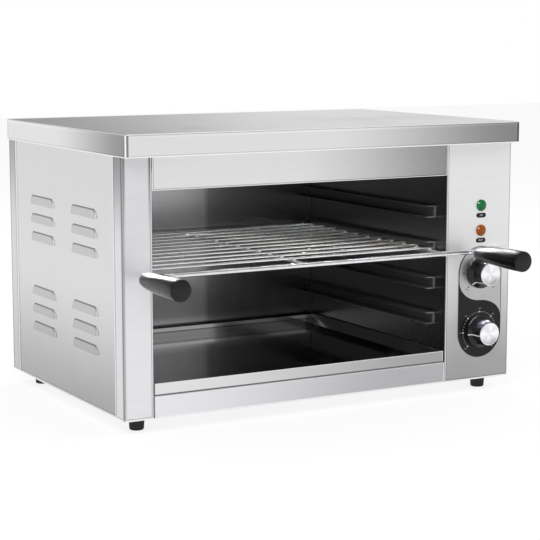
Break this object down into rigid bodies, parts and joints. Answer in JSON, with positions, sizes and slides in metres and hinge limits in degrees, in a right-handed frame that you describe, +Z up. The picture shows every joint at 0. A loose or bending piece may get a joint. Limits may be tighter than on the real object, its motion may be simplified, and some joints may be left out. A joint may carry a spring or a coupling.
{
  "type": "salamander grill",
  "caption": "Open-fronted worktop salamander grill with a slide-out wire rack with two grips, tubular top elements, crumb tray and a right-hand control column.",
  "frame": {"origin": "on the worktop, under the middle of the overall bounding box", "axes": "+X to the right seen from the front, along the longest side; +Y to the back; +Z up, the shortest"},
  "size_m": [0.6, 0.5372, 0.38],
  "materials": {
    "stainless_panel": "polished stainless sheet",
    "cavity_lining": "bright lining sheet",
    "tray_steel": "pressed bright sheet",
    "rack_chrome": "polished chrome plate",
    "element_sheath": "oxidised sheath",
    "brass_fitting": "machined",
    "ceramic_insulator": "unglazed",
    "zinc_fastener": "zinc plated",
    "grip_plastic": "glossy black",
    "knob_plastic": "glossy black",
    "cap_aluminium": "spun bright disc",
    "faceplate_print": "printed black and silver",
    "control_body": "moulded",
    "green_lens": "tinted clear lens",
    "orange_lens": "tinted clear lens",
    "label_plastic": "printed",
    "copper_sensor": "drawn copper",
    "lead_insulation": "silicone sleeve",
    "gland_nylon": "moulded nylon",
    "terminal_nylon": "moulded nylon",
    "foot_rubber": "matt black",
    "fibre_blanket": "soft fibre mat"
  },
  "bodies": {
    "cabinet": {"top_cover": "stainless_panel", "front_left_post": "stainless_panel", "control_panel": "stainless_panel", "front_fascia": "stainless_panel", "lower_front_rail": "stainless_panel", "base_plate": "stainless_panel", "left_side_panel": "stainless_panel", "right_side_panel": "stainless_panel", "rear_panel": "stainless_panel", "left_liner_wall": "cavity_lining", "right_liner_wall": "cavity_lining", "rear_liner_wall": "cavity_lining", "cavity_ceiling": "cavity_lining", "cavity_floor": "cavity_lining", "left_rack_rails": "cavity_lining", "right_rack_rails": "cavity_lining", "insulation_blanket": "fibre_blanket", "front_heating_element": "element_sheath", "middle_heating_element": "element_sheath", "rear_heating_element": "element_sheath", "element_hangers": "cavity_lining", "element_collars": "brass_fitting", "element_insulators": "ceramic_insulator", "element_studs": "zinc_fastener", "element_links": "brass_fitting", "control_faceplate": "faceplate_print", "power_switch": "control_body", "thermostat": "control_body", "control_screws": "zinc_fastener", "power_lamp_lens": "green_lens", "heat_lamp_lens": "orange_lens", "lamp_holders": "control_body", "power_label": "label_plastic", "heat_label": "label_plastic", "thermostat_bulb": "copper_sensor", "bulb_clips": "zinc_fastener", "thermostat_capillary": "copper_sensor", "element_leads": "lead_insulation", "control_leads": "lead_insulation", "cable_gland": "gland_nylon", "gland_locknut": "gland_nylon", "terminal_block": "terminal_nylon", "rubber_feet": "foot_rubber", "foot_screws": "zinc_fastener", "foot_nuts": "zinc_fastener", "cover_screws": "zinc_fastener"},
    "rack": {"rack_front_bar": "rack_chrome", "rack_left_wire": "rack_chrome", "rack_middle_wire": "rack_chrome", "rack_right_wire": "rack_chrome", "rack_cross_wires": "rack_chrome", "left_handle_grip": "grip_plastic", "right_handle_grip": "grip_plastic"},
    "crumb_tray": {"crumb_tray": "tray_steel"},
    "power_knob": {"power_knob": "knob_plastic", "power_knob_cap": "cap_aluminium", "power_knob_shaft": "zinc_fastener"},
    "temperature_knob": {"temperature_knob": "knob_plastic", "temperature_knob_cap": "cap_aluminium", "temperature_knob_shaft": "zinc_fastener"}
  },
  "joints": [
    {"name": "rack_slide", "type": "slide", "parent": "cabinet", "child": "rack", "axis": [0, -1, 0], "range_m": [0, 0.25]},
    {"name": "tray_slide", "type": "slide", "parent": "cabinet", "child": "crumb_tray", "axis": [0, -1, 0], "range_m": [0, 0.27]},
    {"name": "power_knob_turn", "type": "hinge", "parent": "cabinet", "child": "power_knob", "pos_m": [0.248, -0.14165, 0.17], "axis": [0, 1, 0], "range_deg": [0, 270]},
    {"name": "temperature_knob_turn", "type": "hinge", "parent": "cabinet", "child": "temperature_knob", "pos_m": [0.248, -0.14165, 0.086], "axis": [0, 1, 0], "range_deg": [-38, 232]}
  ]
}
